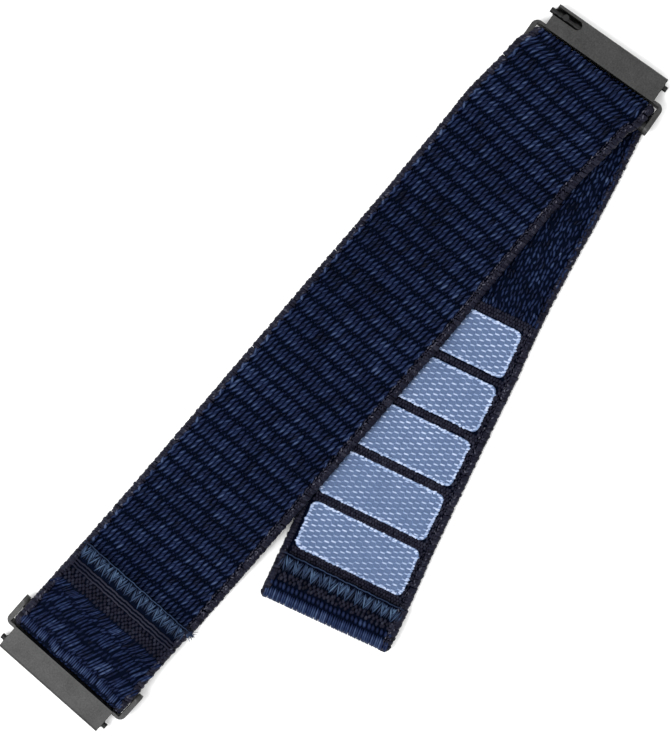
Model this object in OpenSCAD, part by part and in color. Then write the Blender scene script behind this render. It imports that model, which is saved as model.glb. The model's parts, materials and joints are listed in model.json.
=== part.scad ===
// Woven hook-and-loop band with two quick-release metal connectors, laid out flat.
// Millimetres. +X runs from the sewn connector A to the adjustable connector B,
// +Z points up from the table, and the free tail folds back under the band towards -Y.

/* [Band] */
// Width of the woven band
strap_w = 23.6; // [22.4:0.1:23.7]
// Thickness of the woven band
strap_t = 1.8; // [1.4:0.1:2]
// Distance between the two crossbars
main_l = 127.7; // [110:0.1:150]
// Length of the free tail, from crossbar B to its tip
tail_l = 100.6; // [92:0.1:104]
// Sideways angle of the free tail from the band
tail_yaw = 15.6; // [14:0.1:17]
// Sideways angle of crossbar B from square to the band
bar_yaw = 6.5; // [6:0.1:8]
// Length of the sewn end at connector A, from its crossbar
anchor_l = 14.9; // [13:0.1:17]
// Length of the folded tip of the tail
tip_l = 8.1; // [7:0.1:8.6]
// Height that the sewn tip adds to the tail
tip_t = 1.5; // [1:0.1:1.7]

/* [Hook patches] */
// Number of hook patches on the tail
patch_count = 5; // [1:1:7]
// Length of a hook patch along the tail
patch_l = 8.5; // [5:0.1:9]
// Width of a hook patch across the tail
patch_w = 19.8; // [12:0.1:20]
// Distance from one patch to the next
patch_pitch = 10.15; // [9.5:0.05:11]
// Distance from the tip to the first patch
patch_start = 9.2; // [8.8:0.1:12]
// Sideways offset of the patches from the middle of the tail
patch_shift = 0.7; // [0:0.1:1.5]

/* [Connectors] */
// Width of the plate that fits between the tracker's lugs
lug_w = 22; // [20:0.5:22]
// Thickness of the lug plate
lug_t = 3; // [2.8:0.1:3.2]
// Length of the lug plate along the band
lug_l = 4.4; // [4:0.1:5]
// Distance from the crossbar to the outer edge of the lug plate
reach = 8.7; // [8.6:0.1:9.2]
// Outer width of the ring
ring_w = 26.3; // [26.2:0.1:27]
// Thickness of the ring and its arms
ring_t = 2.4; // [2:0.1:2.4]
// Diameter of the crossbar
bar_d = 2; // [1.8:0.1:2]
// Distance that the band's turns stand out past the crossbars
loop_slack = 1; // [0.8:0.1:1]
// Width of the open slot for the release lever
slot_w = 1.7; // [1.4:0.1:1.8]
// Length of the open slot for the release lever
slot_l = 5.2; // [4.8:0.1:6]

/* [Spring bars] */
// Outer diameter of the spring bar's barrel
barrel_d = 1.8; // [1.7:0.05:1.85]
// Diameter of the two tips
tip_d = 1; // [0.8:0.05:1.05]
// Distance that each tip stands out of the connector
tip_out = 0.8; // [0.7:0.1:1.2]

/* [Hidden] */
$fn = 64;

metal = [0.33, 0.33, 0.33];
steel = [0.62, 0.62, 0.64];
navy = [0.08, 0.12, 0.22];
dark_web = [0.13, 0.13, 0.19];
thread = [0.2, 0.3, 0.42];
hook_blue = [0.44, 0.51, 0.66];

// crossbar and the fabric around it
bar_r = bar_d / 2;
bar_gap = 0.05;
inner_r = bar_r + bar_gap;
outer_r = inner_r + strap_t;
bar_z = outer_r;
fold_w = strap_w / cos(bar_yaw);
tail_shift = -0.3;

// connector, in its own frame: x from the crossbar to the lug plate, y along the crossbar
edge_r = 0.5;
arm_w = 0.9;
window_w = ring_w - 2 * arm_w;
wall_in = outer_r + loop_slack + 0.1;
wall_out = reach - lug_l + 0.2;
corner_r = 1.2;
spigot_r = 0.6;
spring_bar_x = reach - 1.4;
bore_r = barrel_d / 2 + 0.1;
edge_x = reach - edge_r;
edge_z = lug_t / 2 - edge_r;
ring_shift = -0.12;
droop = asin((bar_z - edge_r) / norm([edge_x, edge_z])) - atan2(edge_z, edge_x);

// spring bar, along its own axis
barrel_l = lug_w - 1.6;
barrel_wall = 0.18;
barrel_in_r = barrel_d / 2 - barrel_wall;
plug_l = 2.7;
piston_r = barrel_in_r - 0.04;
neck_r = piston_r - 0.02;
neck_out = 0.1;
piston_in = 6.5;
piston_out = 10;
lever_y = 8.9;
lever_r = 0.55;
stem_r = 0.35;
lever_sink = 0.3;
window_from = 7;
window_to = 9.6;
wire_r = 0.11;
coil_r = barrel_in_r - wire_r - 0.08;
spring_from = plug_l - barrel_l / 2 + wire_r + 0.05;
spring_to = piston_in - wire_r - 0.05;
coil_turns = 16;
coil_steps = 10;
wire_sides = 6;

// side view of the band: flat, up onto the tail, and up again onto crossbar B
over_tail_z = strap_t + 0.2;
over_bar_z = bar_z + inner_r;
rise_from = 18;
rise_to = 40;
climb_from = main_l - 17;
climb_to = main_l - 3;
flex_x = [36, 66, 96];
profile_step = 2.5;
flap_settle = 6;
overrun = 6;

// stitching
stitch_t = 0.2;
stitch_w = 0.9;
stitch_pitch = 1.7;
anchor_stitch = [anchor_l - 2.7, anchor_l - 0.3];
tail_stitch = [4.5, 7];

patch_r = 1.1;
patch_sunk = 0.25;
patch_proud = 0.12;
fold_r = (strap_t + tip_t) / 2;

// centre of the part's box, which becomes the origin
lug_end_x = edge_x * cos(droop) + edge_z * sin(droop) + edge_r;
box_x = [-lug_end_x, main_l + lug_end_x * cos(bar_yaw) + (lug_w / 2 - ring_shift) * sin(bar_yaw)];
ring_corner = [wall_out - corner_r, ring_w / 2 - corner_r];
box_y = [-tail_l * sin(tail_yaw) - (strap_w / 2 - tail_shift) * cos(tail_yaw),
    ring_corner[0] * sin(bar_yaw) + (ring_corner[1] + ring_shift) * cos(bar_yaw) + corner_r];
centre = [(box_x[0] + box_x[1]) / 2, (box_y[0] + box_y[1]) / 2];

function ease(t) = t <= 0 ? 0 : t >= 1 ? 1 : t * t * (3 - 2 * t);
function ramp(x, from, to) = ease((x - from) / (to - from));
function under_z(x) = over_tail_z * ramp(x, rise_from, rise_to)
    + (over_bar_z - over_tail_z) * ramp(x, climb_from, climb_to);
function flap_z(x) = strap_t + (over_bar_z - strap_t) * (1 - ramp(x, 0, flap_settle));
function stops(from, to) = let (n = ceil((to - from) / profile_step)) [for (i = [0:n]) from + (to - from) * i / n];
function coil_point(i, j) = let (turn = i / coil_steps, a = 360 * turn, b = 360 * j / wire_sides)
    [(coil_r + wire_r * cos(b)) * cos(a),
    spring_from + (spring_to - spring_from) * turn / coil_turns + wire_r * sin(b),
    (coil_r + wire_r * cos(b)) * sin(a)];

module in_row_frame() {
    translate([-centre[0], -centre[1], 0]) children();
}

module at_a() {
    in_row_frame() translate([0, 0, bar_z]) rotate([0, 180 - droop, 0]) children();
}

module at_b() {
    in_row_frame() translate([main_l, 0, bar_z]) rotate([0, 0, bar_yaw])
        translate([0, ring_shift, 0]) rotate([0, droop, 0]) children();
}

module on_tail() {
    in_row_frame() translate([main_l, 0, 0]) rotate([0, 0, tail_yaw]) translate([0, tail_shift, 0]) children();
}

module along_y(r, from, to) {
    translate([0, from, 0]) rotate([-90, 0, 0]) cylinder(r = r, h = to - from);
}

// a side profile, given as [x, z] points, across the width of the band
module across(width) {
    rotate([90, 0, 0]) linear_extrude(height = width, center = true) children();
}

module web_profile(from, to) {
    xs = stops(from, to);
    back = [for (i = [len(xs) - 1:-1:0]) xs[i]];
    polygon([for (x = xs) [x, under_z(x)], for (x = back) [x, under_z(x) + strap_t]]);
}

module past_bar_b() {
    translate([main_l, 0, 0]) rotate([0, 0, bar_yaw]) translate([0, -strap_w, -1]) cube([2 * overrun, 2 * strap_w, 12]);
}

module round_end(r) {
    translate([loop_slack, 0]) circle(r = r);
    translate([0, -r]) square([loop_slack, 2 * r]);
}

module half_loop(width) {
    across(width) intersection() {
        difference() {
            round_end(outer_r);
            round_end(inner_r);
        }
        translate([0, -outer_r]) square([loop_slack + outer_r, 2 * outer_r]);
    }
}

// zigzag of thread, between two distances from the origin along x
module zigzag(from, to, width) {
    n = round(width / stitch_pitch) * 2;
    path = [for (i = [0:n]) [i % 2 == 0 ? from : to, width * (i / n - 0.5)]];
    back = [for (i = [n:-1:0]) path[i] + [stitch_w, 0]];
    linear_extrude(height = stitch_t) polygon(concat(path, back));
}

module connector_frame() {
    color(metal) difference() {
        union() {
            translate([wall_in, -lug_w / 2, -edge_z]) cube([reach - wall_in, lug_w, 2 * edge_z]);
            translate([wall_in, -lug_w / 2, -lug_t / 2]) cube([edge_x - wall_in, lug_w, lug_t]);
            for (side = [-1, 1]) {
                translate([edge_x, 0, side * edge_z]) along_y(edge_r, -lug_w / 2, lug_w / 2);
            }
            translate([wall_in, -ring_w / 2 + corner_r, -ring_t / 2])
                cube([wall_out - wall_in, ring_w - 2 * corner_r, ring_t]);
            for (side = [-1, 1]) {
                mirror([0, side < 0 ? 1 : 0, 0]) {
                    translate([0, window_w / 2, -ring_t / 2]) cube([ring_corner[0], arm_w, ring_t]);
                    along_y(ring_t / 2, window_w / 2, ring_w / 2);
                    translate([ring_corner[0], ring_corner[1], -ring_t / 2]) cylinder(r = corner_r, h = ring_t);
                }
            }
        }
        translate([-reach, -window_w / 2, -ring_t]) cube([reach + wall_in, window_w, 2 * ring_t]);
        along_y(spigot_r, -ring_w, ring_w);
        translate([spring_bar_x, 0, 0]) along_y(bore_r, -lug_w, lug_w);
        translate([spring_bar_x - slot_w / 2, lug_w / 2 - slot_l + slot_w / 2, 0]) cube([slot_w, slot_l, lug_t]);
        translate([spring_bar_x, lug_w / 2 - slot_l + slot_w / 2, 0]) cylinder(d = slot_w, h = lug_t);
    }
}

module connector_crossbar() {
    color(steel) {
        along_y(bar_r, -window_w / 2, window_w / 2);
        along_y(spigot_r, -ring_w / 2, ring_w / 2);
    }
}

module on_spring_bar() {
    translate([spring_bar_x, 0, 0]) children();
}

module barrel() {
    color(steel) on_spring_bar() difference() {
        along_y(barrel_d / 2, -barrel_l / 2, barrel_l / 2);
        along_y(barrel_in_r, -barrel_l, barrel_l);
        translate([-stem_r - 0.1, window_from, 0]) cube([2 * stem_r + 0.2, window_to - window_from, barrel_d]);
    }
}

module fixed_tip() {
    color(steel) on_spring_bar() {
        along_y(barrel_in_r, -barrel_l / 2, plug_l - barrel_l / 2);
        along_y(neck_r, -lug_w / 2 - neck_out, -barrel_l / 2);
        along_y(tip_d / 2, -lug_w / 2 - tip_out, -lug_w / 2 - neck_out);
    }
}

module plunger() {
    color(steel) on_spring_bar() difference() {
        union() {
            along_y(piston_r, piston_in, piston_out);
            along_y(neck_r, piston_out, lug_w / 2 + neck_out);
            along_y(tip_d / 2, lug_w / 2 + neck_out, lug_w / 2 + tip_out);
        }
        translate([0, lever_y, 0]) cylinder(r = stem_r, h = barrel_d);
    }
}

module lever() {
    color(metal) on_spring_bar() translate([0, lever_y, 0]) {
        cylinder(r = stem_r, h = barrel_d / 2 + 0.1);
        translate([0, 0, barrel_d / 2 + 0.05]) cylinder(r = lever_r, h = lug_t / 2 - lever_sink - barrel_d / 2 - 0.05);
    }
}

module coil_spring() {
    rings = coil_turns * coil_steps;
    sides = wire_sides;
    color(steel) on_spring_bar() polyhedron(
        points = [for (i = [0:rings], j = [0:sides - 1]) coil_point(i, j)],
        faces = concat(
            [[for (j = [sides - 1:-1:0]) j]],
            [for (i = [0:rings - 1], j = [0:sides - 1]) let (k = (j + 1) % sides)
                [i * sides + j, i * sides + k, (i + 1) * sides + k, (i + 1) * sides + j]],
            [[for (j = [0:sides - 1]) rings * sides + j]]));
}

module anchor_loop() {
    color(navy) in_row_frame() translate([0, 0, bar_z]) mirror([1, 0, 0]) half_loop(strap_w);
}

module anchor_flap() {
    xs = stops(0, anchor_l);
    back = [for (i = [len(xs) - 1:-1:0]) xs[i]];
    color(navy) in_row_frame() across(strap_w)
        polygon([for (x = xs) [x, flap_z(x)], for (x = back) [x, flap_z(x) + strap_t]]);
}

module anchor_stitching() {
    color(thread) in_row_frame() translate([0, 0, 2 * strap_t])
        zigzag(anchor_stitch[0], anchor_stitch[1] - stitch_w, strap_w - 1);
}

module main_web(from, to) {
    color(navy) in_row_frame() across(strap_w) web_profile(from, to);
}

module main_web_end() {
    color(navy) in_row_frame() difference() {
        across(strap_w) web_profile(flex_x[2], main_l + overrun);
        past_bar_b();
    }
}

module crossbar_b_wrap() {
    color(navy) in_row_frame() translate([main_l, 0, bar_z]) rotate([0, 0, bar_yaw]) half_loop(fold_w);
}

module patch_slab(grow, height) {
    l = patch_l + 2 * grow;
    w = patch_w + 2 * grow;
    r = patch_r + grow;
    translate([-l / 2 + r, -w / 2, 0]) cube([l - 2 * r, w, height]);
    translate([-l / 2, -w / 2 + r, 0]) cube([l, w - 2 * r, height]);
    for (x = [-1, 1], y = [-1, 1]) {
        translate([x * (l / 2 - r), y * (w / 2 - r), 0]) cylinder(r = r, h = height);
    }
}

module at_patch(number) {
    on_tail() translate([-tail_l + patch_start + patch_l / 2 + (number - 1) * patch_pitch, patch_shift,
        strap_t - patch_sunk]) children();
}

// half-round end of the folded tip: the web keeps the part under the fold line, the flap the part above
module tip_profile(from_z, to_z) {
    intersection() {
        union() {
            translate([-tail_l + fold_r, 0]) square([tip_l - fold_r, 2 * fold_r]);
            translate([-tail_l + fold_r, fold_r]) circle(r = fold_r);
        }
        translate([-tail_l, from_z]) square([tip_l, to_z - from_z]);
    }
}

module tail_web() {
    color(dark_web) difference() {
        on_tail() across(strap_w) {
            translate([-tail_l + tip_l, 0]) square([tail_l - tip_l + overrun, strap_t]);
            tip_profile(0, strap_t);
        }
        in_row_frame() past_bar_b();
        for (number = [1:patch_count]) {
            at_patch(number) patch_slab(0, strap_t);
        }
    }
}

module tail_tip_flap() {
    color(navy) on_tail() across(strap_w) tip_profile(strap_t, 2 * fold_r);
}

module tail_stitching() {
    color(thread) on_tail() translate([-tail_l, 0, 2 * fold_r])
        zigzag(tail_stitch[0], tail_stitch[1] - stitch_w, strap_w - 1);
}

module hook_patch(number) {
    color(hook_blue) at_patch(number) patch_slab(0, patch_sunk + patch_proud);
}

at_a() connector_frame();  // connector_a_frame
at_a() connector_crossbar();  // connector_a_crossbar
at_a() barrel();  // spring_bar_a_barrel
at_a() fixed_tip();  // spring_bar_a_fixed_tip
at_a() plunger();  // spring_bar_a_plunger
at_a() coil_spring();  // spring_bar_a_spring
at_a() lever();  // release_lever_a
at_b() connector_frame();  // connector_b_frame
at_b() connector_crossbar();  // connector_b_crossbar
at_b() barrel();  // spring_bar_b_barrel
at_b() fixed_tip();  // spring_bar_b_fixed_tip
at_b() plunger();  // spring_bar_b_plunger
at_b() coil_spring();  // spring_bar_b_spring
at_b() lever();  // release_lever_b
anchor_loop();
anchor_flap();
anchor_stitching();
main_web(0, flex_x[0]);  // main_web_1
main_web(flex_x[0], flex_x[1]);  // main_web_2
main_web(flex_x[1], flex_x[2]);  // main_web_3
main_web_end();  // main_web_4
crossbar_b_wrap();
tail_web();
tail_tip_flap();
tail_stitching();
hook_patch(1);  // hook_patch_1
hook_patch(2);  // hook_patch_2
hook_patch(3);  // hook_patch_3
hook_patch(4);  // hook_patch_4
hook_patch(5);  // hook_patch_5
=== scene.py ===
"""Looks of a woven hook-and-loop wrist band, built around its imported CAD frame.

The fabric is laid out flat, in millimetres of band, and place() wraps it round both crossbars:
    s  along the band, 0 at crossbar A, rising along the main span to crossbar B, round it and out along
       the tail; below 0 the band turns round crossbar A into the sewn flap
    v  across the band, towards +Y on the main span
    h  out of mid-thickness: positive is the ribbed face, negative the loop face
Each yarn, knot, stitch and hook is a closed tapered tube on such a path.
"""

import json
import math

import bpy
import numpy as np
from mathutils import Euler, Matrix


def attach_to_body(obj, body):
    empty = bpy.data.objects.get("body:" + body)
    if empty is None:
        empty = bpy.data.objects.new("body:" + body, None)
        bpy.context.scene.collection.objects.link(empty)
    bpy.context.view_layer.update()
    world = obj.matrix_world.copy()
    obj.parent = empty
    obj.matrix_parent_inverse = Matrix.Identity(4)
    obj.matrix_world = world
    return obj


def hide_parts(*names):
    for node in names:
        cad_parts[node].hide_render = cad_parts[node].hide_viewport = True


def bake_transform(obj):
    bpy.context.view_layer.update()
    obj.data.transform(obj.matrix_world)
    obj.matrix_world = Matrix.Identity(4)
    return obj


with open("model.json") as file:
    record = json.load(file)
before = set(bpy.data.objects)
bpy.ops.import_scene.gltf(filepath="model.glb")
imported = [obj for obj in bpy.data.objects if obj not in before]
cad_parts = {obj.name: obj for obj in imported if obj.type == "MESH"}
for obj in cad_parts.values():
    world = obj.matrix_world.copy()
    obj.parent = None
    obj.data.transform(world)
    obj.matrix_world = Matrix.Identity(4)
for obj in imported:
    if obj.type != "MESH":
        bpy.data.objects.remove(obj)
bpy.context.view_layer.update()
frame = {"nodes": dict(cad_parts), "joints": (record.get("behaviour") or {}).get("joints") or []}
MM = 0.001
rng = np.random.default_rng(11)
RIBBED, LOOPED = 1, -1  # the band's two faces

# ---------------------------------------------------------------- the band's path, in millimetres
joints = {j["name"]: j for j in frame["joints"]}
BAR_A = np.array(joints["connector_a_pivot"]["pos_m"]) / MM
BAR_B = np.array(joints["connector_b_pivot"]["pos_m"]) / MM
FLEX = [joints[f"band_flex_{k}"]["pos_m"][0] / MM - BAR_A[0] for k in (1, 2, 3)]
YAW = math.asin(joints["connector_b_pivot"]["axis"][0])  # crossbar B's turn from square
COS, SIN = math.cos(YAW), math.sin(YAW)
SPAN = BAR_B[0] - BAR_A[0]
BAR_Z = BAR_A[2]
HALF = 0.9  # half the webbing's thickness
EDGE = 11.8  # half its width
TURN_R = BAR_Z - HALF  # mid-thickness radius round a crossbar
HALF_TURN = math.pi * TURN_R
SLACK = 1.0  # how far each turn stands out past its crossbar
WRAP = HALF_TURN + 2 * SLACK
OVER_TAIL, OVER_BAR = 2.0, BAR_Z + TURN_R - HALF  # underside heights over the tail and on crossbar B
FLAP_L = 14.9
TAIL_L = 100.6
TAIL_SHIFT = -0.3
TIP_L = 8.35
FOLD_MID, FOLD_Z = 0.75, 1.65  # the tip's fold: mid-thickness radius, height of its axis
FOLD_ARC = math.pi * FOLD_MID
FOLD_RUN = TAIL_L - FOLD_Z
SWAY_TOP, SWAY_BAR = 1.2, 0.4  # how far the main span bows towards +Y, at most and at crossbar B
BULGE = 0.75  # and how much further it leans before it passes between the arms
WIDEN = 0.32  # extra width on the -Y side, past the sewn flap
TAIL_BOW, TAIL_WAVE, TIP_BOW = 0.4, 0.33, 0.28  # the tail's sideways curve: one arch, a wave in it, its tip
TIP_SHIFT, TIP_SLANT = 0.35, 0.022  # how much further out the tail's end reaches, and more per mm of v
SKEW = math.radians(15.6) - 2 * YAW  # the tail's sideways bend past the fold, in its first BEND millimetres
BEND = 10.0
DRIFT = (TAIL_SHIFT - SKEW * BEND / 2 - SWAY_BAR + WRAP * SIN) / COS  # creep along crossbar B
RIB_PITCH = 3.015
FIRST_RIB = 15.35
YARN_PITCH = 0.8
INNER = 10.1  # half width between the selvedges
OUTER = 11.2  # the outermost rows on the flap and the tip
CORD = 11.3  # half the width of the ridges and the zigzag
PLAIN_RUN = 40  # where the tail turns to plain weave, from crossbar B
PLAIN = 0.56  # its pitch
PATCH_L, PATCH_W, PATCH_PITCH, PATCH_START = 8.5, 20.1, 10.15, 9.7
PATCH_V = (0.15, 0.35, 0.35, 0.4, 0.4)  # each patch's middle, from the one at the tip
# and how far along the tail, from crossbar B
PATCH_RUNS = [TAIL_L - PATCH_START - PATCH_L / 2 - k * PATCH_PITCH for k in range(5)]


def smooth(t):
    """An S-shaped step from 0 to 1."""
    t = np.clip(t, 0, 1)
    return t * t * (3 - 2 * t)


def sway(s):
    """The main span's bow towards +Y."""
    return SWAY_TOP * smooth((s - 8) / 100) - (SWAY_TOP - SWAY_BAR) * smooth((s - 110) / 15)


def side_of(s, v):
    """Y of a point of the main span."""
    lean = (smooth((s - 86) / 38) + 0.4 * smooth((s - 109) / 6)) * (1 - smooth((s - SPAN + 1.6) / 2.6))
    wide = smooth((s - 10) / 6) * (1 - smooth((s - 78) / 18)) * smooth(-v / 12)
    return v + sway(s) + BULGE * lean * (0.65 + 0.35 * smooth((v + 4) / 14)) - WIDEN * wide


def lift(s):
    """Height of the main span's underside."""
    return OVER_TAIL * smooth((s - 18) / 22) + (OVER_BAR - OVER_TAIL) * smooth((s - SPAN + 17) / 14)


def flap_lift(x):
    """Height of the flap's underside."""
    return 2 * HALF + (OVER_BAR - 2 * HALF) * (1 - smooth(x / 6))


def slope_of(height, at):
    """Unit normal (x, z) of a height curve."""
    k = (height(at + 0.05) - height(at - 0.05)) / 0.1
    n = np.sqrt(1 + k * k)
    return -k / n, 1 / n


def at_run(run):
    """s at a distance from crossbar B along the tail."""
    return SPAN + np.asarray(run, float) + WRAP * COS + DRIFT * SIN


def at_tip(x):
    """s on the folded tip's upper layer, at a distance from the band's end."""
    return at_run(FOLD_RUN) + FOLD_ARC + x - FOLD_Z


def past_bar(s, v):
    """Distance past crossbar B, square to it."""
    return (s - SPAN) * COS + side_of(s, v) * SIN


def on_flap(x):
    """s on the flap at a distance from crossbar A."""
    return -WRAP - np.asarray(x, float)


START, FINISH = float(on_flap(FLAP_L)), float(at_tip(TIP_L))


def bar_line(v, turned=0.0):
    """s where the band has gone a distance round crossbar B, at v."""
    s = SPAN + 0.0 * v
    for _ in range(4):
        s = SPAN + (turned - side_of(s, v) * SIN) / COS
    return s


def span_and_flap(s, h):
    """x and z of the main span and, below s = 0, of the turn round crossbar A and the flap on top."""
    nx, nz = slope_of(lift, s)
    x, z = s + h * nx, lift(s) + HALF + h * nz
    turn = np.clip((-s - SLACK) / TURN_R, 0, math.pi)
    loop = s < -SLACK
    x = np.where(loop, -SLACK - (TURN_R - h) * np.sin(turn), x)
    z = np.where(loop, BAR_Z - (TURN_R - h) * np.cos(turn), z)
    fx = -s - WRAP
    flap = fx > -SLACK
    nx, nz = slope_of(flap_lift, fx)
    x = np.where(flap, fx - h * nx, x)
    z = np.where(flap, flap_lift(fx) + HALF - h * nz, z)
    return x, z


def turn_and_tail(s, v, h, side, past):
    """x, y and z past crossbar B: round it, then out along the tail to its folded tip."""
    turn = np.clip((past - SLACK) / TURN_R, 0, math.pi)
    along_bar = -(s - SPAN) * SIN + side * COS + DRIFT * smooth(turn / math.pi)
    out = np.where(past < SLACK, past, SLACK + (TURN_R + h) * np.sin(turn))
    out = np.where(past > SLACK + HALF_TURN, WRAP - past, out)
    run = -(out * COS + along_bar * SIN)
    bow = TAIL_BOW * np.sin(math.pi * np.clip(run / TAIL_L, 0, 1)) - TIP_BOW * smooth((run - 80) / 12)
    bow = bow - TAIL_WAVE * np.sin(2 * math.pi * np.clip(run / 50, 0, 1))
    tail_y = -out * SIN + along_bar * COS + bow
    # the tip folds up over itself, where the loop face is squeezed thinner
    squeeze = 1 - smooth((run - FOLD_RUN + 3) / 3) / 3
    h = np.where(h < 0, h * squeeze, h)
    z = BAR_Z + (TURN_R + h) * np.cos(turn)
    fold = np.clip((run - FOLD_RUN) / FOLD_MID, 0, math.pi)
    beyond = np.maximum(run - FOLD_RUN - FOLD_ARC, 0)
    folded = run > FOLD_RUN
    tail_x = np.where(folded, beyond - FOLD_RUN - (FOLD_MID + h) * np.sin(fold), -run)
    tail_x = tail_x - (TIP_SHIFT + TIP_SLANT * v) * smooth((-tail_x - 92) / 7)
    z = np.where(folded, FOLD_Z - (FOLD_MID + h) * np.cos(fold), z)
    # the soft sideways bend past the fold
    bent = np.clip(run, 0, BEND) / BEND
    angle = SKEW * smooth(bent)
    ahead, start = tail_x + np.maximum(run, 0), -np.maximum(run, 0)
    centre_y = -SKEW * (BEND * (bent**3 - bent**4 / 2) + np.maximum(run - BEND, 0))
    tail_x = start + ahead * np.cos(angle) - tail_y * np.sin(angle)
    tail_y = centre_y + ahead * np.sin(angle) + tail_y * np.cos(angle)
    c2, s2 = math.cos(2 * YAW), math.sin(2 * YAW)
    return SPAN + tail_x * c2 - tail_y * s2, tail_x * s2 + tail_y * c2, z


def place(s, v, h):
    """Band millimetres to row-frame metres."""
    s, v, h = (np.array(a, float) for a in np.broadcast_arrays(s, v, h))
    side = side_of(s, v)
    past = past_bar(s, v)
    x, z = span_and_flap(s, h)
    tail_x, tail_y, tail_z = turn_and_tail(s, v, h, side, past)
    x = np.where(past > 0, tail_x, x)
    y = np.where(past > 0, tail_y, side)
    z = np.where(past > 0, tail_z, z)
    return np.stack([x + BAR_A[0], y + BAR_A[1], z], -1) * MM


# ---------------------------------------------------------------- zones and their bodies
CUT_BACK = 15  # each bending zone starts this far before its hinge, and the last also ends as far behind it
CUTS = [at - CUT_BACK for at in FLEX] + [FLEX[2] + CUT_BACK]
ZONES = ["anchor", "flex_1", "flex_2", "flex_3", "end", "turn", "tail", "tip"]
SPANS = ["strap_anchor", "strap_2", "strap_3", "strap_4"]


def zone_of(s, v):
    """Index in ZONES of points of the band."""
    zone = np.searchsorted(CUTS, s, side="right")
    past = past_bar(s, v)
    zone = np.where(past > 0, ZONES.index("turn"), np.minimum(zone, ZONES.index("end")))
    zone = np.where(past > WRAP, ZONES.index("tail"), zone)
    return np.where(s > at_run(FOLD_RUN) - 0.01, ZONES.index("tip"), zone)


def attach(obj, zone):
    """Rides a piece with the body its zone belongs to; pieces of the turn and the bending zones are only
    baked in place.
    """
    if zone in ("anchor", "end"):
        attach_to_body(obj, SPANS[0] if zone == "anchor" else SPANS[3])
    elif zone in ("tail", "tip"):
        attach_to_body(obj, "tail")
    elif zone == "turn":
        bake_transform(obj)
    else:
        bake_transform(obj)


# ---------------------------------------------------------------- mesh building
def add(name, data):
    """A new object in the scene."""
    obj = bpy.data.objects.new(name, data)
    bpy.context.scene.collection.objects.link(obj)
    return obj


class Heap:
    """Tubes that will become one mesh."""

    def __init__(self):
        self.points, self.faces, self.tint, self.local, self.count = [], [], [], [], 0

    def take(self, points, rings, sides, tint, local):
        """points: tubes x rings x sides x 3, in metres."""
        n = points.shape[0]
        base = self.count + np.arange(n)[:, None, None] * rings * sides
        ring = np.arange(rings - 1)[None, :, None] * sides
        side = np.arange(sides)[None, None, :]
        a, b = base + ring + side, base + ring + (side + 1) % sides
        self.faces += np.stack([a, b, b + sides, a + sides], -1).reshape(-1, 4).tolist()
        ends = base[:, 0, :1]
        self.faces += (ends + np.arange(sides)[::-1]).tolist()
        self.faces += (ends + (rings - 1) * sides + np.arange(sides)).tolist()
        self.points.append(points.reshape(-1, 3))
        self.tint.append(tint.ravel())
        self.local.append(local.reshape(-1, 3))
        self.count += n * rings * sides

    def build(self, name, material):
        """One object of all the tubes, with each point's tint and yarn coordinates."""
        mesh = bpy.data.meshes.new(name)
        mesh.from_pydata(np.concatenate(self.points), [], self.faces)
        tint = mesh.attributes.new("tint", "FLOAT", "POINT")
        tint.data.foreach_set("value", np.concatenate(self.tint).astype(np.float32))
        local = mesh.attributes.new("yarn", "FLOAT_VECTOR", "POINT")
        local.data.foreach_set("vector", np.concatenate(self.local).astype(np.float32).ravel())
        mesh.polygons.foreach_set("use_smooth", [len(f) == 4 for f in self.faces])
        mesh.materials.append(material)
        return add(name, mesh)


heaps = {}
S_AXIS, H_AXIS = np.array([1.0, 0, 0]), np.array([0, 0, 1.0])


def heap_of(zone, kind):
    """The heap of a zone and kind, new if it isn't there yet."""
    return heaps.setdefault((zone, kind), Heap())


def tubes(kind, path, wide, thick, tint, sides=6, sideways=False, twist=0.0, face=0, crest=0.0, lobes=0.0):
    """Closed tubes along paths (tubes x points x (s, v, h)), put in the heap of their zone and kind.

    wide and thick are half sizes, along the face and out of it. A sideways tube is widest along s.
    crest paints a highlight on the line of the tube that stands furthest out of the given face, most at mid
    length, and painted shade at its two ends; lobes splits that painted highlight in two.
    """
    n, rings, _ = path.shape
    wide = np.broadcast_to(wide, (n, rings))[..., None, None]
    thick = np.broadcast_to(thick, (n, rings))[..., None, None]
    run = np.gradient(path, axis=1)
    length = np.linalg.norm(run, axis=-1, keepdims=True)
    run /= length
    if sideways:
        across = S_AXIS - (run @ S_AXIS)[..., None] * run
    else:
        across = np.cross(H_AXIS, run)
    across /= np.linalg.norm(across, axis=-1, keepdims=True)
    up = np.cross(run, across)
    angle = (np.arange(sides) + 0.5) * 2 * math.pi / sides
    c, s = np.cos(angle)[:, None], np.sin(angle)[:, None]
    skin = path[:, :, None] + across[:, :, None] * wide * c + up[:, :, None] * thick * s
    points = place(skin[..., 0], skin[..., 1], skin[..., 2])
    # the yarn's own coordinates, for its streaks
    along = np.cumsum(length[..., 0], axis=1)[..., None] + np.zeros(sides)
    spin = twist * along
    lx = wide[..., 0] * np.cos(angle) * np.cos(spin) - thick[..., 0] * np.sin(angle) * np.sin(spin)
    ly = wide[..., 0] * np.cos(angle) * np.sin(spin) + thick[..., 0] * np.sin(angle) * np.cos(spin)
    tag = rng.uniform(0, 50, (n, 1, 1))
    local = np.stack([lx + tag, ly, along], -1)
    # its tint: lighter on the crest and darker at the ends, a painted highlight and painted shade
    t = np.linspace(0, 1, rings)[:, None]
    arch = np.sin(math.pi * t)
    split = 1 - lobes + lobes * abs(np.sin(2 * math.pi * t))
    painted_highlight_and_shade = crest * (np.clip(face * np.sin(angle), 0, 1) ** 3 * arch**0.7 * split - 0.5 * (1 - arch))
    tint = np.broadcast_to(tint, (n,))[:, None, None] + painted_highlight_and_shade * np.ones((n, 1, 1))
    middle = path[:, rings // 2]
    zone = zone_of(middle[:, 0], middle[:, 1])
    for z in np.unique(zone):
        pick = zone == z
        heap_of(ZONES[z], kind).take(points[pick], rings, sides, tint[pick], local[pick])


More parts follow.
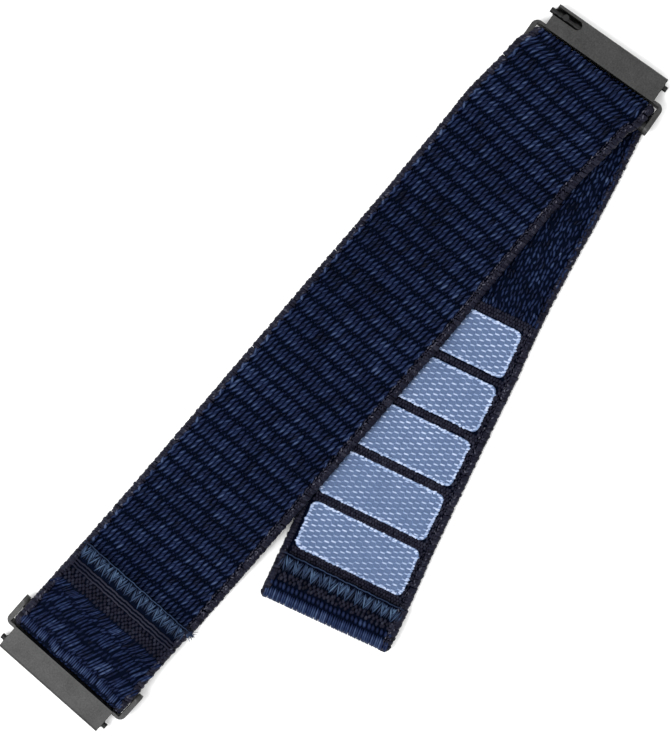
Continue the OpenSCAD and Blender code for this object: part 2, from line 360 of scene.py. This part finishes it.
def noise2(s, v, seed, scale):
    """A smooth seeded pattern, about -1 to 1."""
    r = np.random.default_rng(seed)
    total = 0
    for _ in range(6):
        a, b, p = r.normal(0, 1 / scale, 2).tolist() + [r.uniform(0, 6.28)]
        total = total + np.sin(a * s + b * v + p)
    return total / 3


def vary(n, amount):
    """Normal scatter for n yarns."""
    return rng.normal(0, amount, n)


def spread(centres, rows, jitter_s, jitter_v):
    """Every centre with every row, as two flat arrays with a little wander."""
    s, v = (a.ravel() for a in np.meshgrid(centres, rows, indexing="ij"))
    return s + vary(s.size, jitter_s), v + vary(v.size, jitter_v)


def floats(s, v, length, fall, face, low, high, wide, thick, tint, kind="floats", rings=8, sides=6,
           ess=1.0, crest=0.4, lobes=0.0):
    """Yarns that lie along the band: they rise out of the web, cross a rib and dive again.

    fall is how much v drops over the length, in an S shape if ess is 1 and straight if it is 0. low and high
    are the depths of the ends and the crown, wide and thick half sizes.
    """
    t = np.linspace(0, 1, rings)
    bulge = np.sin(math.pi * t) ** 0.7
    n = s.size
    length, fall, high = (np.broadcast_to(a, (n,))[:, None] for a in (length, fall, high))
    path = np.stack([
        s[:, None] + (t - 0.5) * length,
        v[:, None] + fall * (0.5 - (ess * smooth(t) + (1 - ess) * t)),
        face * (low + (high - thick - low) * bulge),
    ], -1)
    body = 0.35 + 0.65 * bulge
    tubes(kind, path, wide * body, thick * body, tint, sides, face=face, crest=crest, lobes=lobes)


# ---------------------------------------------------------------- ribbed face
ROWS = (np.arange(27) - 12.5) * YARN_PITCH
LAST_RIB = FIRST_RIB + RIB_PITCH * round((at_run(FOLD_RUN) - FIRST_RIB - 2) / RIB_PITCH)
RIBS = np.arange(FIRST_RIB, LAST_RIB + 0.1, RIB_PITCH)
SEEN = RIBS < SPAN + 9
STROKES = ((-0.62, 1.75, 0.9, 0.0), (0.66, 1.5, 0.88, -0.06))  # place in a rib, length, crown, change of tint


def hidden_ribs():
    """The underside of the tail: one thick yarn for each row of a rib."""
    s, v = spread(RIBS[~SEEN], ROWS, 0.08, 0.05)
    floats(s, v, length=2.6, fall=0.5, face=RIBBED, low=0.2, high=0.9, wide=0.37, thick=0.24,
           tint=0.24 + vary(s.size, 0.1), rings=5, sides=5, lobes=0.6)


def shown_ribs():
    """The main span: on each rib a dim bed of yarn under two columns of short strokes."""
    s, v = spread(RIBS[SEEN], ROWS, 0.06, 0.04)
    n = s.size
    tint = 0.2 + vary(n, 0.06) + 0.07 * noise2(s, v, 3, 5)
    floats(s, v, length=2.55, fall=0.4, face=RIBBED, low=0.3, high=0.82, wide=0.38, thick=0.24,
           tint=tint - 0.03, rings=5, sides=5, crest=0.15)
    for at, length, high, shade in STROKES:
        floats(s + at + vary(n, 0.05), v + vary(n, 0.04), length=length + vary(n, 0.08),
               fall=0.46 + vary(n, 0.08), face=RIBBED, low=0.55, high=high + vary(n, 0.02),
               wide=0.26, thick=0.17, tint=tint + shade + vary(n, 0.07), rings=6, crest=0.46)


def valleys():
    """Ground yarns that cross the valleys between the ribs, tinted near black as painted shade of the deep
    valleys.
    """
    s, v = spread(RIBS[SEEN] + RIB_PITCH / 2, (np.arange(26) - 12) * YARN_PITCH, 0.1, 0.08)
    floats(s, v, length=1.1, fall=0.3, face=RIBBED, low=0.25, high=0.62, wide=0.22, thick=0.14,
           tint=0.07 + vary(s.size, 0.06), rings=5, sides=5, crest=0.25)


def rib_ends():
    """Steeper yarns where each rib runs into the two selvedges."""
    s, v = spread(RIBS[SEEN], [INNER + 0.75], 0.15, 0.05)
    floats(s + 0.2, v, length=1.9, fall=-0.6, face=RIBBED, low=0.35, high=0.88, wide=0.3, thick=0.18,
           tint=0.4 + vary(s.size, 0.1))
    s, v = spread(RIBS[SEEN], [-INNER - 0.1], 0.1, 0.06)
    floats(s - 0.2, v, length=1.7, fall=-0.4, face=RIBBED, low=0.35, high=0.84, wide=0.26, thick=0.16,
           tint=0.24 + vary(s.size, 0.1))


hidden_ribs()
shown_ribs()
valleys()
rib_ends()


# ---------------------------------------------------------------- loop face
def underside():
    """Loops under the main span."""
    s, v = spread(np.arange(-1.2, SPAN - 1, RIB_PITCH), ROWS, 0.25, 0.08)
    s = s + 0.8 * (np.arange(s.size) % 3 - 1)
    keep = past_bar(s, v) < -0.5
    s, v = s[keep], v[keep]
    floats(s, v, length=2.5, fall=1.0, face=LOOPED, low=0.4, high=0.9, wide=0.34, thick=0.2,
           tint=0.26 + vary(s.size, 0.1), rings=5, sides=5)


def tail_strokes():
    """Short strokes on the tail, from crossbar B to the plain weave."""
    s, v = spread(at_run(np.arange(0.6, PLAIN_RUN, 1.15)), (np.arange(39) - 19) * 0.59, 0.2, 0.1)
    s = np.clip(s + 0.38 * (np.arange(s.size) % 3 - 1), None, at_run(PLAIN_RUN - 0.4))
    n = s.size
    floats(s, v, length=1.45 + vary(n, 0.2), fall=0.05 + vary(n, 0.2), face=LOOPED, low=0.4,
           high=0.9 + vary(n, 0.06), wide=0.25, thick=0.19,
           tint=0.12 + vary(n, 0.12) + 0.12 * noise2(s, v, 8, 1.5), rings=6)


def flap_shoulder():
    """Groups of three yarns where the flap comes over crossbar A."""
    s, v = spread(on_flap([-1.75]), (np.arange(19) - 9) * 1.2, 0.1, 0.08)
    n = s.size
    for ply in (-1, 0, 1):
        floats(s + vary(n, 0.1), v + 0.36 * ply, length=1.9 - 0.2 * abs(ply), fall=0.02, face=LOOPED,
               low=0.45, high=0.93 - 0.05 * abs(ply), wide=0.2, thick=0.16, tint=0.33 + vary(n, 0.1), rings=9)


# place from crossbar A, length, pitch across the band, tint
FLAP_COLUMNS = ((-4.9, 2.6, 0.8, 0.24), (0.5, 2.7, 1.19, 0.28), (3.75, 2.8, 1.2, 0.23), (6.5, 2.5, 0.8, 0.2))


def flap_loops():
    """Columns of paired loops round crossbar A and on the flap."""
    for at, length, pitch, tone in FLAP_COLUMNS:
        s, v = spread(on_flap([at]), np.arange(-OUTER, OUTER + 0.1, pitch), 0.08, 0.06)
        n = s.size
        group = 0.07 * np.cos(v * 2 * math.pi / 2.4)
        for half in (-0.5, 0.5):
            tint = tone - 0.07 * (half > 0) + vary(n, 0.09) + 0.1 * noise2(s, v, 5, 1.2) + group
            floats(s + vary(n, 0.15), v + 0.4 * pitch * half, length=length + vary(n, 0.15),
                   fall=-1.0 + vary(n, 0.15), face=LOOPED, low=0.4, high=0.9 + vary(n, 0.04),
                   wide=0.22 * pitch**0.5, thick=0.18, tint=tint, rings=9, crest=0.5, lobes=0.8)


def flap_ground():
    """Lower ground yarns between those columns."""
    s, v = spread(on_flap([-3.3, -0.75, 2.15, 5.15]), np.arange(-10.6, 10.7, 0.8), 0.12, 0.1)
    n = s.size
    floats(s, v, length=1.5, fall=-0.5 + vary(n, 0.2), face=LOOPED, low=0.35, high=0.72, wide=0.26,
           thick=0.16, tint=0.14 + vary(n, 0.08), rings=5, crest=0.3)


underside()
tail_strokes()
flap_shoulder()
flap_loops()
flap_ground()


# ---------------------------------------------------------------- plain weave, ridges, folded tip
def knots(s, v, face, size, high, tint):
    """Small domed crossings of a plain weave."""
    t = np.linspace(-1, 1, 5)
    dome = np.sqrt(np.clip(1 - (t * 0.92) ** 2, 0, 1))
    lie = np.where(rng.random(s.size) < 0.5, 1, -1)[:, None] * 0.18
    path = np.stack([
        s[:, None] + t * size,
        v[:, None] + lie * t * size,
        face * (high - 0.16 + 0.1 * dome) + 0 * s[:, None],
    ], -1)
    tubes("selvedge", path, size * 0.85 * dome + 0.02, 0.12 * dome + 0.02, tint, 5)


def tail_plain():
    """Plain weave between the hook patches and round them."""
    runs = np.arange(PLAIN_RUN + 0.2, TAIL_L - TIP_L + 1.2, PLAIN)
    s, v = spread(at_run(runs), np.arange(-INNER - 0.1, INNER + 0.2, PLAIN * 0.9), 0.03, 0.03)
    v = v + 0.25 * (np.round(s / PLAIN) % 2)
    covered = np.zeros(s.size, bool)
    for run, side in zip(PATCH_RUNS, PATCH_V):
        covered |= (abs(s - at_run(run)) < PATCH_L / 2 + 0.05) & (abs(v - side) < PATCH_W / 2 + 0.05)
    s, v = s[~covered], v[~covered]
    knots(s, v, LOOPED, size=0.31, high=0.9, tint=0.36 + vary(s.size, 0.08))


def flap_plain():
    """Plain weave on the flap, between its loops and the ridges."""
    pitch = 0.47
    s, v = spread(on_flap(np.arange(7.85, 10.1, pitch)), np.arange(-11.4, 11.0, 0.8), 0.06, 0.06)
    v = v + 0.4 * (np.round(-s / pitch) % 2)
    knots(s, v, LOOPED, size=0.35, high=0.88, tint=0.26 + vary(s.size, 0.08))


def ridge(kind, s_at, face, high, radius, tint):
    """A cord that runs across the band."""
    v = np.linspace(-CORD, CORD, 66)
    wander = 0.05 * np.sin(v * 2.1 + s_at) + 0.04 * np.sin(v * 5.3)
    path = np.stack([s_at + wander, v, np.full(v.size, face * (high - radius))], -1)[None]
    r = radius * (1 + 0.14 * np.sin(v * 2 * math.pi / 0.6))
    tubes(kind, path, r[None], r[None], tint, 6, twist=3.0, face=face, crest=0.2)


def folded_tip():
    """A bright rib round the tail's end, a narrow dark one behind it, then plain weave to the stitching."""
    pitch = 0.79
    rows = (np.arange(29) - 14) * pitch
    s, v = spread([at_run(FOLD_RUN) + 2.05], rows, 0.03, 0.03)
    for k in (-1, 1):
        floats(s, v + 0.18 * k, length=2.45, fall=-0.3, face=RIBBED, low=0.3, high=0.9 - 0.02 * k, wide=0.24,
               thick=0.22, tint=0.34 + 0.05 * k + vary(s.size, 0.08), rings=9, crest=0.45, lobes=0.4)
    s, v = spread([at_tip(3.2)], rows, 0.04, 0.04)
    floats(s, v, length=1.25, fall=-0.25, face=RIBBED, low=0.3, high=0.84, wide=0.36, thick=0.18,
           tint=0.16 + vary(s.size, 0.08), crest=0.3)
    s, v = spread(at_tip(np.array([4.25, 4.7, 5.15])), np.arange(-OUTER, OUTER + 0.1, pitch), 0.06, 0.06)
    v = v + 0.39 * (np.round(s / 0.45) % 2)
    knots(s, v, RIBBED, size=0.34, high=0.82, tint=0.28 + vary(s.size, 0.12))


tail_plain()
flap_plain()
for x in (10.25, 10.85, 11.45):  # three ridges between the flap's plain weave and its zigzag
    ridge("selvedge", float(on_flap(x)), LOOPED, high=0.9, radius=0.19, tint=0.4)
folded_tip()


# ---------------------------------------------------------------- selvedges
def bound_edge(edge, along):
    """Threads wrapped round one edge of the band, at each s of along."""
    n = along.size
    from_bars = (along + WRAP / 2, along - SPAN - WRAP / 2)
    near_bar = np.exp(-((from_bars[0] / 5) ** 2)) + np.exp(-((from_bars[1] / 5) ** 2))
    psi = np.radians(np.linspace(-100, 100, 7))
    s = along + vary(n, 0.05)
    out = 0.93 + 0.1 * near_bar + 0.06 * np.sin(along * 4.6 + edge) + vary(n, 0.03)
    path = np.stack([
        s[:, None] + edge * 0.2 * psi / 1.8 + rng.normal(0, 0.03, (n, 1)) * psi,
        edge * (10.95 + out[:, None] * np.cos(psi)),
        0.7 * np.sin(psi) + 0 * s[:, None],
    ], -1)
    if edge > 0:
        path = path[:, ::-1]
    body = 0.6 + 0.4 * np.cos(np.linspace(-1.4, 1.4, 7))
    tubes("selvedge", path, 0.33 * body, 0.14 * body, 0.3 + vary(n, 0.12), 6, sideways=True)


def edge_faces(edge, along):
    """Short slanted threads on both faces: one column of them, or up to three on the wider -v edge."""
    narrow = (along < 0) | (along > SPAN) & (along < at_run(PLAIN_RUN))
    shown = {
        LOOPED: (along < 0) | (along > SPAN),
        RIBBED: (along > 0) & (along < SPAN) | (along > at_run(FOLD_RUN)),
    }
    for face in (LOOPED, RIBBED):
        columns = [(0.3, 11.2, along)]
        if edge < 0:
            columns.append((-0.3, 10.85, along[~narrow | (face == RIBBED)]))
            columns.append((0.1, 10.5, along[shown[face] & ~narrow]))
        for lean, at, base in columns:
            n = base.size
            floats(base + 0.25 + vary(n, 0.1), edge * at + vary(n, 0.07), length=0.6 + vary(n, 0.08),
                   fall=edge * lean + vary(n, 0.15), face=face, low=0.5, high=0.88, wide=0.15, thick=0.12,
                   tint=0.32 + vary(n, 0.2), kind="selvedge", rings=4, sides=5, ess=0.3, crest=0.25)


THREADS = np.arange(START + 0.4, FINISH - 0.3, 0.5)
for edge in (-1, 1):
    bound_edge(edge, THREADS)
    edge_faces(edge, THREADS)


# ---------------------------------------------------------------- the web itself: one closed solid a zone
def web(zone, s_from, s_to, step):
    """The dark ground weave between two lines across the band, each a function of v or a number; its
    near-black colour is partly the weave's own navy and partly painted shade of the gaps it is seen through.
    """
    count = 15
    v = np.linspace(-EDGE + 0.25, EDGE - 0.25, count)
    ring_v = np.concatenate([v, v[::-1]])
    ring_h = np.concatenate([np.full(count, -0.62), np.full(count, 0.42)])
    ring_h[[0, count - 1, count, -1]] *= 0.4
    low = s_from(ring_v) if callable(s_from) else np.full(2 * count, float(s_from))
    high = s_to(ring_v) if callable(s_to) else np.full(2 * count, float(s_to))
    rings = max(2, int(np.ceil((high - low).max() / step)) + 1)
    t = np.linspace(0, 1, rings)[:, None]
    s = low + t * (high - low)
    points = place(s, ring_v, ring_h + 0 * s)[None]
    local = np.stack(np.broadcast_arrays(ring_v, ring_h, s), -1)[None]
    heap_of(zone, "web").take(points, rings, 2 * count, np.full((1, rings, 2 * count), 0.3), local)


def past_turn(v):
    """s at the end of the turn round crossbar B, at v."""
    return bar_line(v, WRAP)


web("anchor", START + 0.15, CUTS[0], 0.4)
web("flex_1", CUTS[0], CUTS[1], 1.0)
web("flex_2", CUTS[1], CUTS[2], 1.0)
web("flex_3", CUTS[2], CUTS[3], 1.0)
web("end", CUTS[3], bar_line, 0.8)
web("turn", bar_line, past_turn, 0.3)
web("tail", past_turn, at_run(FOLD_RUN), 1.5)
web("tip", at_run(FOLD_RUN), FINISH - 0.15, 0.3)


# ---------------------------------------------------------------- zigzag stitching
def zigzag(s_from, s_to, face, high, pitch, tint, wobble, strands=4):
    """Zigzag thread across the band: a darker bed, then filled Vs of nested strands."""
    s, v = spread([(s_from + s_to) / 2], np.arange(-OUTER, OUTER + 0.1, 0.42), 0.1, 0.06)
    floats(s, v, length=abs(s_to - s_from), fall=0.3, face=face, low=0.5, high=high - 0.22, wide=0.2,
           thick=0.14, tint=tint - 0.3 + vary(s.size, 0.08), kind="stitches", rings=5)
    t = np.linspace(0, 1, 6)
    arch = np.sin(math.pi * t) ** 0.5
    body = 0.6 + 0.4 * arch
    count = int(2 * CORD / pitch)
    for strand in range(strands):
        inset = 0.95 / strands * strand
        for k in range(count):
            v0 = -pitch * count / 2 + k * pitch
            for lean in (0, 1):
                a = (s_from + (s_to - s_from) * inset, v0 + pitch * 0.5)
                b = (s_to, v0 + (inset * 0.5 if lean else 1 - inset * 0.5) * pitch)
                slip = vary(4, wobble)
                path = np.stack([
                    a[0] + slip[0] + (b[0] - a[0] + slip[1]) * t,
                    a[1] + slip[2] + (b[1] - a[1] + slip[3]) * t,
                    face * (high - 0.3 - 0.02 * strand + 0.22 * arch),
                ], -1)[None]
                tubes("stitches", path, 0.14 * body, 0.12 * body, tint + 0.13 * rng.normal(), 6, twist=4.0,
                      face=face, crest=0.3)


def fray(s0, v0, count, spread_v, reach, tint=0.3):
    """Loose fibres at a corner of the flap's cut edge."""
    t = np.linspace(0, 1, 6)
    for _ in range(count):
        end_s, end_v, drop = rng.normal(-0.1, 0.3), spread_v * rng.uniform(0.4, 1), rng.uniform(-0.1, 0.5)
        path = np.stack([
            s0 + rng.normal(0, 0.15) + end_s * t * reach,
            v0 + end_v * t * reach,
            -0.5 - drop * t * reach * 0.4 + 0.25 * t * t,
        ], -1)[None]
        tubes("frays", path, 0.1 * (1 - 0.7 * t), 0.1 * (1 - 0.7 * t), tint + 0.1 * rng.normal(), 5)


# the sewn end's zigzag and cut edge, the tip's, then loose fibres at the sewn end's two corners
zigzag(float(on_flap(12.0)), float(on_flap(14.5)), LOOPED, high=1.12, pitch=1.61, tint=0.34, wobble=0.09)
ridge("stitches", float(on_flap(14.7)), LOOPED, high=0.96, radius=0.11, tint=0.34)
zigzag(float(at_tip(5.4)), float(at_tip(7.75)), RIBBED, high=1.08, pitch=1.63, tint=0.36, wobble=0.1)
ridge("stitches", float(at_tip(TIP_L - 0.2)), RIBBED, high=0.98, radius=0.11, tint=0.3)
fray(START + 0.5, -EDGE + 0.4, 26, spread_v=-1.0, reach=1.7)
fray(START + 0.5, EDGE - 0.3, 8, spread_v=0.6, reach=0.8)


# ---------------------------------------------------------------- hook patches
def patch_outline(corner=1.1, steps=7):
    """A rounded rectangle, the patch's size, round its middle."""
    reach = np.array([PATCH_L / 2, PATCH_W / 2]) - corner
    quarter = np.radians(np.linspace(0, 90, steps))
    corners = []
    for cx, cy, start in ((1, 1, 0), (-1, 1, 90), (-1, -1, 180), (1, -1, 270)):
        a = quarter + math.radians(start)
        corners.append(np.stack([cx * reach[0] + corner * np.cos(a), cy * reach[1] + corner * np.sin(a)], -1))
    return np.concatenate(corners)


def hooks(kind, run, side):
    """Staggered rows of small arched hooks, and the thin feet between them."""
    cols, rows, step_s, step_v = 8, 19, 1.0, 1.04
    s, v = (a.ravel() for a in np.meshgrid(np.arange(cols), np.arange(rows), indexing="ij"))
    at_s = (s - (cols - 1) / 2 + 0.5 * (v % 2) - 0.25) * step_s
    at_v = (v - (rows - 1) / 2) * step_v
    n = s.size
    worn = noise2(at_s + at_run(run), at_v, 20, 3)
    at_s = (at_run(run) + at_s + vary(n, 0.03))[:, None]
    at_v = (side + at_v + vary(n, 0.04))[:, None]
    t = np.linspace(0, math.pi, 6)
    arch = -(0.7 + 0.26 * np.sin(t) ** 0.6)
    path = np.stack([at_s - 0.05 * np.cos(t), at_v - 0.45 * np.cos(t), arch + 0 * at_s], -1)
    heavy = 0.6 + 0.4 * np.sin(t * 0.8 + 2.2) ** 2
    tint = 0.46 + vary(n, 0.06) + 0.06 * worn
    tubes(kind, path, 0.15 + 0.04 * heavy, 0.07, tint, 5, face=LOOPED, crest=0.4)
    t = np.linspace(0, 1, 4)
    arch = -(0.7 + 0.15 * np.sin(math.pi * t) ** 0.5)
    for lean in (-1, 1):
        path = np.stack([at_s + lean * (0.06 + 0.38 * t), at_v + 0.3 + 0.42 * t, arch + 0 * at_s], -1)
        end_s, end_v = path[:, -1, 0] - at_run(run), path[:, -1, 1] - side
        path = path[(abs(end_s) < PATCH_L / 2 - 0.2) & (abs(end_v) < PATCH_W / 2 - 0.2)]
        tubes(kind, path, 0.07, 0.06, 0.24 + vary(len(path), 0.06), 5, face=LOOPED, crest=0.2)


def rim(kind, run, side, outline):
    """Short welded beads round the patch."""
    loop = np.concatenate([outline, outline[:1]])
    walked = np.concatenate([[0], np.cumsum(np.linalg.norm(np.diff(loop, axis=0), axis=1))])
    marks = np.arange(0, walked[-1], 0.3) + vary(int(np.ceil(walked[-1] / 0.3)), 0.08)
    half = (PATCH_L / 2, PATCH_W / 2)
    rim_s, rim_v = (np.interp(marks, walked, loop[:, k] * (1 - 0.2 / half[k])) for k in (0, 1))
    n = marks.size
    rim_s, rim_v = (rim_s + vary(n, 0.07))[:, None], (rim_v + vary(n, 0.07))[:, None]
    t = np.linspace(-1, 1, 4)
    size = 0.24 + 0.06 * rng.normal(size=(n, 1))
    path = np.stack([
        at_run(run) + rim_s + 0.4 * size * t,
        side + rim_v + size * t,
        -0.9 - 0.05 * np.cos(t) + 0 * rim_s,
    ], -1)
    tubes(kind, path, 0.22 * np.cos(t * 1.2), 0.09, 0.68 + vary(n, 0.15), 5)


def slab(kind, run, side, outline):
    """The patch's base: a rounded plate sunk in the tail, with a low raised rim."""
    profile = ((0.1, -0.45), (-0.05, -0.7), (-0.02, -0.93), (0.12, -0.985), (0.3, -0.93), (0.42, -0.8))
    rings = []
    for inset, depth in profile:
        ring = outline * (1 - inset / np.abs(outline).max(0))
        rings.append(np.stack([at_run(run) + ring[:, 0], side + ring[:, 1], np.full(len(ring), depth)], -1))
    flat = np.array(rings)
    points = place(flat[..., 0], flat[..., 1], flat[..., 2])[None]
    tint = np.full((1, len(rings), len(outline)), 0.5)
    heap_of("tail", kind).take(points, len(rings), len(outline), tint, (flat - [at_run(run), 0, 0])[None])


for k, (run, side) in enumerate(zip(PATCH_RUNS, PATCH_V)):
    patch = f"hook_patch_{k + 1}"
    hooks(patch + "_hooks", run, side)
    rim(patch + "_hooks", run, side, patch_outline())
    slab(patch + "_base", run, side, patch_outline())


# ---------------------------------------------------------------- materials
def srgb(r, g, b):
    """An 8-bit screen colour as linear RGBA."""
    c = np.array([r, g, b]) / 255
    return (*np.where(c <= 0.04045, c / 12.92, ((c + 0.055) / 1.055) ** 2.4), 1.0)


class Shader:
    """A material's node tree, with short calls for the nodes used here."""

    def __init__(self, name):
        self.material = bpy.data.materials.new(name)
        self.material.use_nodes = True
        self.tree = self.material.node_tree
        self.bsdf = self.tree.nodes["Principled BSDF"]

    def node(self, kind, links=(), **values):
        n = self.tree.nodes.new("ShaderNode" + kind)
        for key, value in values.items():
            setattr(n, key, value)
        for socket, source in dict(links).items():
            self.feed(n.inputs[socket], source)
        return n

    def feed(self, socket, source):
        if isinstance(source, bpy.types.NodeSocket):
            self.tree.links.new(source, socket)
        else:
            socket.default_value = source

    def math(self, operation, a, b=0.0, clamp=False):
        n = self.node("Math", {0: a, 1: b}, operation=operation)
        n.use_clamp = clamp
        return n.outputs[0]

    def scaled(self, vector, scale):
        return self.node("VectorMath", {0: vector, 1: scale}, operation="MULTIPLY").outputs[0]

    def noise(self, vector, scale=1.0, detail=2.0, rough=0.5):
        links = {"Vector": vector, "Scale": scale, "Detail": detail, "Roughness": rough}
        return self.node("TexNoise", links).outputs["Fac"]

    def attribute(self, name, output):
        return self.node("Attribute", attribute_name=name).outputs[output]

    def ramp(self, value, stops):
        n = self.node("ValToRGB", {"Fac": value})
        while len(n.color_ramp.elements) < len(stops):
            n.color_ramp.elements.new(0.5)
        for e, (at, colour) in zip(n.color_ramp.elements, stops):
            e.position, e.color = at, colour
        return n.outputs["Color"]

    def bump(self, height, strength, distance):
        links = {"Height": height, "Strength": strength, "Distance": distance}
        self.tree.links.new(self.node("Bump", links).outputs["Normal"], self.bsdf.inputs["Normal"])

    def object_coords(self):
        return self.node("TexCoord").outputs["Object"]


YARN_STOPS = (0.05, 0.32, 0.58, 0.85)


def yarn(name, tones, rough=0.5, level=0.1, grain=9.0):
    """A bundle of fine filaments: streaks along the yarn, its tint from dark to light with the painted
    highlights and shade that each tube carries, soft gloss.
    """
    m = Shader(name)
    streak = m.noise(m.scaled(m.attribute("yarn", "Vector"), (grain, grain, grain * 0.12)), 1.0, 2.0, 0.6)
    soil = m.noise(m.object_coords(), 450.0, 2.0)
    tone = m.math("ADD", m.attribute("tint", "Fac"), m.math("MULTIPLY", m.math("SUBTRACT", streak, 0.5), 0.4))
    tone = m.math("ADD", tone, m.math("MULTIPLY", m.math("SUBTRACT", soil, 0.5), 0.25), clamp=True)
    colour = m.ramp(tone, [(at, srgb(*tone_8_bit)) for at, tone_8_bit in zip(YARN_STOPS, tones)])
    m.feed(m.bsdf.inputs["Base Color"], colour)
    m.feed(m.bsdf.inputs["Roughness"], m.math("ADD", m.math("MULTIPLY", streak, 0.25), rough - 0.12))
    m.bsdf.inputs["Specular IOR Level"].default_value = level
    m.bump(streak, 0.5, 5e-5)
    return m.material


def metal(name, base, rough, metallic, cloudy=0.3):
    """Dark coated steel with a fine blasted grain."""
    m = Shader(name)
    coords = m.object_coords()
    grain = m.noise(coords, 3600.0, 3.0, 0.7)
    cloud = m.noise(coords, 320.0, 3.0, 0.55)
    tone = m.math("ADD", m.math("MULTIPLY", grain, 1 - cloudy), m.math("MULTIPLY", cloud, cloudy))
    dark, light = ([c * f for c in base[:3]] + [1.0] for f in (0.6, 1.5))
    m.feed(m.bsdf.inputs["Base Color"], m.ramp(tone, ((0.3, dark), (0.7, light))))
    m.feed(m.bsdf.inputs["Roughness"], m.math("ADD", m.math("MULTIPLY", grain, 0.2), rough - 0.1))
    m.bsdf.inputs["Metallic"].default_value = metallic
    m.bump(grain, 0.35, 2e-5)
    return m.material


# the lightest stops of these ramps are reached mostly where a tube carries its painted highlight
NAVY = yarn("navy_yarn", [(0, 3, 16), (8, 18, 44), (26, 38, 66), (58, 71, 98)], level=0.06)
SELVEDGE = yarn("selvedge_yarn", [(8, 9, 19), (20, 21, 34), (36, 37, 48), (70, 71, 82)], level=0.06,
                grain=12.0)
THREAD = yarn("stitch_thread", [(8, 15, 30), (22, 34, 56), (40, 56, 80), (64, 84, 108)], grain=14.0)
# ground weave: near black, partly painted shade of the gaps between the yarns
WEB = yarn("ground_weave", [(0, 2, 10), (2, 6, 20), (4, 8, 24), (8, 12, 28)], rough=0.8, level=0.02,
           grain=5.0)
HOOK = yarn("hook_nylon", [(62, 80, 112), (88, 107, 141), (120, 138, 170), (166, 179, 206)], rough=0.4,
            level=0.2)
BASE = yarn("hook_base", [(50, 65, 94), (66, 83, 114), (80, 97, 128), (106, 122, 152)], level=0.12,
            grain=4.0)
CONNECTOR = metal("blasted_steel", srgb(55, 55, 55), rough=0.45, metallic=0.85)
BARS = metal("bar_steel", srgb(26, 26, 27), rough=0.45, metallic=0.6)
SPRING = metal("spring_bar_steel", srgb(30, 30, 31), rough=0.4, metallic=0.8)

# ---------------------------------------------------------------- pieces of the band
FINISHES = {
    "floats": (NAVY, "ribbed_webbing"),
    "web": (WEB, "ribbed_webbing"),
    "selvedge": (SELVEDGE, "ribbed_webbing"),
    "stitches": (THREAD, "stitch_thread"),
    "frays": (THREAD, "stitch_thread"),
}
REPLACES = {
    "anchor": ["anchor_loop", "anchor_flap", "main_web_1"],
    "flex_1": ["main_web_2"],
    "flex_2": ["main_web_3"],
    "flex_3": ["main_web_4"],
    "turn": ["crossbar_b_wrap"],
    "tail": ["tail_web"],
    "tip": ["tail_tip_flap"],
}
for (zone, kind), heap in heaps.items():
    if kind.startswith("hook_patch"):
        hooked = kind.endswith("_hooks")
        obj = heap.build(kind, HOOK if hooked else BASE)
        slot = "hook_patch"
        if not hooked:
            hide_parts(kind.removesuffix("_base"))
    else:
        material, slot = FINISHES[kind]
        if zone == "tail":
            slot = "tail_webbing"
        obj = heap.build(f"band_{zone}_{kind}", material)
        if kind == "web" and zone in REPLACES:
            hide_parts(*REPLACES[zone])
        if kind == "stitches":
            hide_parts("anchor_stitching" if zone == "anchor" else "tail_stitching")
    attach(obj, zone)


# ---------------------------------------------------------------- metal parts
def finish_of(name):
    """The metal that a node is made of."""
    if name.endswith("_frame"):
        return CONNECTOR
    if "crossbar" in name or "lever" in name:
        return BARS
    return SPRING


def soften_edges(obj):
    """Small rounds on a frame's sharp edges."""
    weld = obj.modifiers.new("weld", "WELD")
    weld.merge_threshold = 2e-6
    bevel = obj.modifiers.new("bevel", "BEVEL")
    bevel.width, bevel.segments = 2.2e-4, 3
    bevel.limit_method, bevel.angle_limit = "ANGLE", math.radians(35)
    bevel.harden_normals = True


for name, obj in frame["nodes"].items():
    if any(word in name for word in ("connector", "spring_bar", "lever")):
        obj.data.materials.clear()
        obj.data.materials.append(finish_of(name))
        if name.endswith("_frame"):
            soften_edges(obj)

# ---------------------------------------------------------------- floor, light, camera
FLOOR_R = 3.0
corners = [(x * FLOOR_R, y * FLOOR_R, 0) for x, y in ((-1, -1), (1, -1), (1, 1), (-1, 1))]
floor_mesh = bpy.data.meshes.new("floor")
floor_mesh.from_pydata(corners, [], [(0, 1, 2, 3)])
floor = add("floor", floor_mesh)
paper = Shader("pale_paper")
paper.bsdf.inputs["Base Color"].default_value = (0.93, 0.93, 0.93, 1)
paper.bsdf.inputs["Roughness"].default_value = 0.9
paper.bsdf.inputs["Specular IOR Level"].default_value = 0.0
floor.data.materials.append(paper.material)

world = bpy.data.worlds.new("studio")
bpy.context.scene.world = world
world.use_nodes = True
world.node_tree.nodes["Background"].inputs["Color"].default_value = (1, 1, 1, 1)
world.node_tree.nodes["Background"].inputs["Strength"].default_value = 1.25


def softbox(name, where, size, power):
    """A square area light aimed at the origin."""
    light = bpy.data.lights.new(name, "AREA")
    light.shape, light.size, light.size_y, light.energy = "RECTANGLE", size, size, power
    obj = add(name, light)
    obj.location = where
    obj.rotation_euler = (-obj.location).to_track_quat("-Z", "Y").to_euler()


softbox("key", (-0.28, 0.2, 0.72), 0.32, 4.3)
softbox("fill", (0.55, 0.35, 0.6), 0.5, 1.2)

camera = bpy.data.cameras.new("camera")
camera.sensor_width = 36.0
camera.lens = 173.21
camera.clip_end = 20.0
view = add("camera", camera)
view.location = (0.04713, 0.01864, 0.5972)
view.rotation_euler = Euler([math.radians(a) for a in (-3.793, 2.53, -48.503)])
bpy.context.scene.camera = view
bpy.context.scene.view_settings.view_transform = "Standard"
